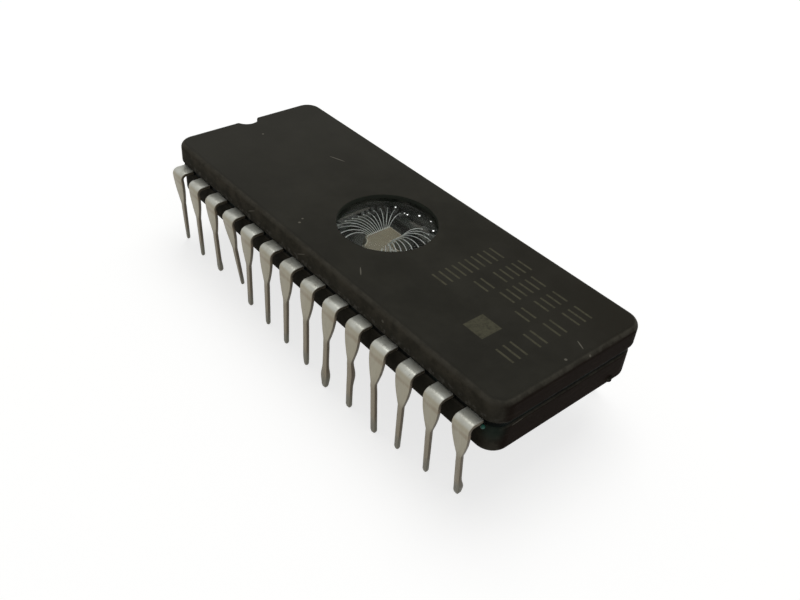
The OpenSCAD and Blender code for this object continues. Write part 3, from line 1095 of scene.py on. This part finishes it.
def makeBeadTree(values):
    tree, start, end = newGeometryTree("swollen_seal", values)
    inputs = {"Resolution": beadShape["roundFaces"], "Radius": 1.0}
    profile = output(tree, "GeometryNodeCurvePrimitiveCircle", inputs)
    size = output(tree, "ShaderNodeCombineXYZ", {0: start["Half width"], 1: start["Half height"], 2: 1.0})
    profile = output(tree, "GeometryNodeTransform", {"Geometry": profile, "Scale": size})
    upright = output(tree, "GeometryNodeSetCurveNormal", {"Curve": start["Geometry"]}, mode="Z_UP")
    swept = output(tree, "GeometryNodeCurveToMesh", {"Curve": upright, "Profile Curve": profile})
    position = output(tree, "GeometryNodeInputPosition")
    parts = splitUp(tree, position)
    inputs = {"Vector": position, "Scale": start["Ripples per m"], "Detail": 3.0}
    waves = maths(tree, "SUBTRACT", output(tree, "ShaderNodeTexNoise", inputs), 0.5)
    lift = times(tree, waves, start["Ripple"], 2.0)
    # the glass creeps out along the pins
    turns = maths(tree, "ADD", maths(tree, "DIVIDE", parts[0], pinPitch * mm), 0.5)
    nearPin = remap(tree, maths(tree, "COSINE", times(tree, turns, 2 * math.pi)), -0.3, 0.6)
    longReach = (sealHigh.y - beadShape["pinDepth"]) * mm
    longSide = maths(tree, "GREATER_THAN", maths(tree, "ABSOLUTE", parts[1]), longReach)
    lift = maths(tree, "ADD", lift, times(tree, times(tree, nearPin, longSide), start["Swell at pins"]))
    normal = output(tree, "GeometryNodeInputNormal")
    offset = output(tree, "ShaderNodeVectorMath", {0: normal, "Scale": lift}, operation="SCALE")
    flat = output(tree, "ShaderNodeVectorMath", {0: offset, 1: (1, 1, 0)}, operation="MULTIPLY")
    moved = output(tree, "GeometryNodeSetPosition", {"Geometry": swept, "Offset": flat})
    endTree(tree, moved, sealGlass, end)
    return tree


def buildBead():
    shape = beadShape
    middle = (sealLow.z + sealHigh.z) / 2
    path = bpy.data.curves.new("seal_outline", "CURVE")
    path.dimensions = "3D"
    spline = path.splines.new("POLY")
    points = beadPath()
    spline.points.add(len(points) - 1)
    for point, (x, y) in zip(spline.points, points):
        point.co = (x * mm, y * mm, middle * mm, 1.0)
    spline.use_cyclic_u = True
    values = {
        "Half width": shape["halfWidth"] * mm,
        "Half height": shape["halfHeight"] * mm,
        "Ripple": shape["ripple"] * mm,
        "Ripples per m": shape["ripplesPerMm"] / mm,
        "Swell at pins": shape["swellAtPin"] * mm,
    }
    return growPiece("seal_bead", path, makeBeadTree(values), values)


buildBead()
print("sealing glass bead made")

# Collars of glass round the roots of the pins

collarShape = dict(
    width=1.46,
    height=0.34,
    thick=0.07,
    round=0.12,
    smallest=0.8,
    largest=1.15,
    standOut=0.06,
    roundFaces=8,
    seed=7,
)


def makeCollarTree(values):
    tree, start, end = newGeometryTree("root_collars", values)
    inputs = {"Width": start["Width"], "Height": start["Height"]}
    outline = output(tree, "GeometryNodeCurvePrimitiveQuadrilateral", inputs)
    inputs = {"Curve": outline, "Radius": start["Corner radius"], "Count": 3, "Limit Radius": True}
    rounded = output(tree, "GeometryNodeFilletCurve", inputs, mode="POLY")
    inputs = {"Resolution": collarShape["roundFaces"], "Radius": start["Thickness"]}
    profile = output(tree, "GeometryNodeCurvePrimitiveCircle", inputs)
    ring = output(tree, "GeometryNodeCurveToMesh", {"Curve": rounded, "Profile Curve": profile})
    stood = output(tree, "GeometryNodeTransform", {"Geometry": ring, "Rotation": (math.pi / 2, 0, 0)})
    inputs = {"Min": start["Smallest"], "Max": start["Largest"], "Seed": start["Seed"]}
    chance = addNode(tree, "FunctionNodeRandomValue", inputs, data_type="FLOAT").outputs["Value"]
    size = output(tree, "ShaderNodeCombineXYZ", {0: 1.0, 1: chance, 2: 1.0})
    inputs = {"Points": start["Geometry"], "Instance": stood, "Scale": size}
    placed = output(tree, "GeometryNodeInstanceOnPoints", inputs)
    endTree(tree, placed, sealGlass, end)
    return tree


def buildCollars():
    shape = collarShape
    height = leadHigh.z - leadThickness / 2
    reach = sealHigh.y + shape["standOut"]
    places = range(1, pinsPerRow + 1)
    points = [(pinX(place), side * reach, height) for side in (-1, 1) for place in places]
    values = {
        "Width": shape["width"] * mm,
        "Height": shape["height"] * mm,
        "Thickness": shape["thick"] * mm,
        "Corner radius": shape["round"] * mm,
        "Smallest": shape["smallest"],
        "Largest": shape["largest"],
        "Seed": shape["seed"],
    }
    source = pointMesh("pin_roots", points)
    return growPiece("root_collars", source, makeCollarTree(values), values)


buildCollars()
print("glass collars made")

# A drop of glass at the near corner of the plain end

dripShape = dict(middle=(17.2, -6.45, 6.36), size=(0.15, 0.14, 0.14), turn=-45, lumps=0.12, lumpScale=1.3)
dripLook = dict(
    dark=srgb(16, 70, 60),
    light=srgb(60, 150, 130),
    scale=4.0,
    detail=2.0,
    breakup=0.5,
    metallic=0.0,
    smooth=0.08,
    rough=0.2,
    shine=0.25,
)


def buildDrip():
    shape = dripShape
    mesh = bmesh.new()
    bmesh.ops.create_icosphere(mesh, subdivisions=3, radius=1.0)
    turn = Matrix.Rotation(math.radians(shape["turn"]), 3, "Z")
    for vertex in mesh.verts:
        ball = Vector([part * size for part, size in zip(vertex.co, shape["size"])])
        swell = 1 + shape["lumps"] * noise.noise(vertex.co * shape["lumpScale"])
        vertex.co = turn @ ball * swell + Vector(shape["middle"])
    return finishPiece(mesh, "glass_drip", makeTwoTone("drip_glass", dripLook))


buildDrip()
print("glass drip made")

# Pads on the die, one under each bond wire

padShape = dict(inset=0.12, size=0.1, height=0.012)
padLook = dict(
    dark=srgb(150, 148, 138),
    light=srgb(206, 204, 194),
    scale=30.0,
    detail=3.0,
    breakup=0.6,
    metallic=0.8,
    smooth=0.3,
    rough=0.5,
)


def makePadTree(values, material):
    tree, start, end = newGeometryTree("die_pads", values)
    inputs = {"Width": start["Pad size"], "Height": start["Pad size"]}
    outline = output(tree, "GeometryNodeCurvePrimitiveQuadrilateral", inputs)
    face = output(tree, "GeometryNodeFillCurve", {"Curve": outline})
    up = output(tree, "ShaderNodeCombineXYZ", {2: start["Pad height"]})
    raised = addNode(tree, "GeometryNodeExtrudeMesh", {"Mesh": face, "Offset": up}).outputs["Mesh"]
    under = output(tree, "GeometryNodeFlipFaces", {0: face})
    whole = tree.nodes.new("GeometryNodeJoinGeometry")
    tree.links.new(under, whole.inputs[0])
    tree.links.new(raised, whole.inputs[0])
    closed = output(tree, "GeometryNodeMergeByDistance", {"Geometry": whole.outputs[0], "Distance": 1e-7})
    placed = output(tree, "GeometryNodeInstanceOnPoints", {"Points": start["Geometry"], "Instance": closed})
    endTree(tree, placed, material, end)
    return tree


def buildPads():
    shape = padShape
    halfX = dieHigh.x - dieMiddle.x - shape["inset"]
    halfY = dieHigh.y - dieMiddle.y - shape["inset"]
    points = []
    for end in (-1, 1):
        for step in range(pinsPerRow):
            y = dieMiddle.y - halfY + 2 * halfY * step / (pinsPerRow - 1)
            points.append((end * halfX, y, dieHigh.z))
    values = {"Pad size": shape["size"] * mm, "Pad height": shape["height"] * mm}
    tree = makePadTree(values, makeTwoTone("die_pad_metal", padLook))
    return growPiece("die_pads", pointMesh("pad_places", points), tree, values)


buildPads()
print("die pads made")

# Painted highlights in the window glass: bright mirror specks where the lamps are reflected, with place and
# radius

highlightSpecks = [
    (-0.93, 1.84, 0.12),
    (0.32, 1.92, 0.13),
    (0.05, 1.86, 0.08),
    (0.91, 2.55, 0.13),
    (2.93, 2.13, 0.1),
    (1.92, 2.79, 0.06),
]
highlightSpeckShape = dict(flatness=0.4, depth=0.05)
# painted highlight: the specks have a near-white mirror skin
highlightSpeckLook = dict(
    dark=srgb(214, 220, 218),
    light=srgb(250, 252, 250),
    scale=9.0,
    detail=2.0,
    breakup=0.5,
    metallic=1.0,
    smooth=0.1,
)


def makeHighlightSpeckTree(values, material):
    tree, start, end = newGeometryTree("window_highlight_specks", values)
    ball = output(tree, "GeometryNodeMeshIcoSphere", {"Radius": 1.0, "Subdivisions": 2})
    radius = output(tree, "GeometryNodeInputNamedAttribute", {"Name": "radius"}, data_type="FLOAT")
    low = times(tree, radius, start["Flatness"])
    size = output(tree, "ShaderNodeCombineXYZ", {0: radius, 1: radius, 2: low})
    inputs = {"Points": start["Geometry"], "Instance": ball, "Scale": size}
    placed = output(tree, "GeometryNodeInstanceOnPoints", inputs)
    endTree(tree, placed, material, end)
    return tree


def buildHighlightSpecks():
    points = [(x, y, lensHigh.z - highlightSpeckShape["depth"]) for x, y, radius in highlightSpecks]
    source = pointMesh("highlight_speck_places", points, radius=[radius * mm for x, y, radius in highlightSpecks])
    values = {"Flatness": highlightSpeckShape["flatness"]}
    tree = makeHighlightSpeckTree(values, makeTwoTone("highlight_speck_skin", highlightSpeckLook))
    return growPiece("window_highlight_specks", source, tree, values)


buildHighlightSpecks()
print("window bubbles made")

# Camera, light and floor

cameraSet = dict(place=(38.06, -33.25, 41.62), turn=(51.445, -4.069, 50.219), lens=37.98)
lightSet = dict(
    ambient=0.28,
    key=dict(place=(-60, 110, 330), size=260, watts=0.6),
    fill=dict(place=(200, -160, 160), size=220, watts=0.02),
    aim=(0, 0, 7),
)
floorSet = dict(half=900, colour=(0.4, 0.4, 0.39, 1.0), lift=0.74)


def placeCamera():
    data = bpy.data.cameras.new("camera")
    data.lens = cameraSet["lens"]
    data.clip_start = 1 * mm
    data.clip_end = 10
    camera = newObject("camera", data)
    camera.location = Vector(cameraSet["place"]) * mm
    camera.rotation_euler = [math.radians(angle) for angle in cameraSet["turn"]]
    bpy.context.scene.camera = camera


def placeLamp(name, lamp):
    data = bpy.data.lights.new(name, "AREA")
    data.size = lamp["size"] * mm
    data.energy = lamp["watts"]
    light = newObject(name, data)
    light.location = Vector(lamp["place"]) * mm
    aim = Vector(lightSet["aim"]) * mm - light.location
    light.rotation_euler = aim.to_track_quat("-Z", "Y").to_euler()


def seenRays(tree):
    rays = addNode(tree, "ShaderNodeLightPath").outputs
    seen = maths(tree, "ADD", rays["Is Camera Ray"], rays["Is Glossy Ray"])
    return maths(tree, "ADD", seen, rays["Is Transmission Ray"], clamp=True)


def makeWorld():
    world = bpy.data.worlds.new("studio")
    world.use_nodes = True
    tree = world.node_tree
    tree.nodes.clear()
    # the camera sees a white room, which lights the chip less than it shows
    dim = output(tree, "ShaderNodeBackground", {"Color": (1, 1, 1, 1), "Strength": lightSet["ambient"]})
    white = output(tree, "ShaderNodeBackground", {"Color": (1, 1, 1, 1), "Strength": 1.0})
    blend = mixShader(tree, seenRays(tree), dim, white)
    addNode(tree, "ShaderNodeOutputWorld", {"Surface": blend})
    bpy.context.scene.world = world


def buildFloor():
    half = floorSet["half"] * mm
    data = bpy.data.meshes.new("floor")
    corners = [(-half, -half, 0), (half, -half, 0), (half, half, 0), (-half, half, 0)]
    data.from_pydata(corners, [], [(0, 1, 2, 3)])
    floor = newObject("floor", data)
    material, tree, shader, place = newMaterial("floor")
    setInputs(tree, shader, {
        "Base Color": floorSet["colour"],
        "Roughness": 1.0,
        "Specular IOR Level": 0.0,
        "Emission Color": (1, 1, 1, 1),
        "Emission Strength": times(tree, seenRays(tree), floorSet["lift"]),
    })
    coat(floor, material)


placeCamera()
placeLamp("key", lightSet["key"])
placeLamp("fill", lightSet["fill"])
makeWorld()
buildFloor()
bpy.context.scene.view_settings.view_transform = "Standard"
print("camera, light and floor placed")
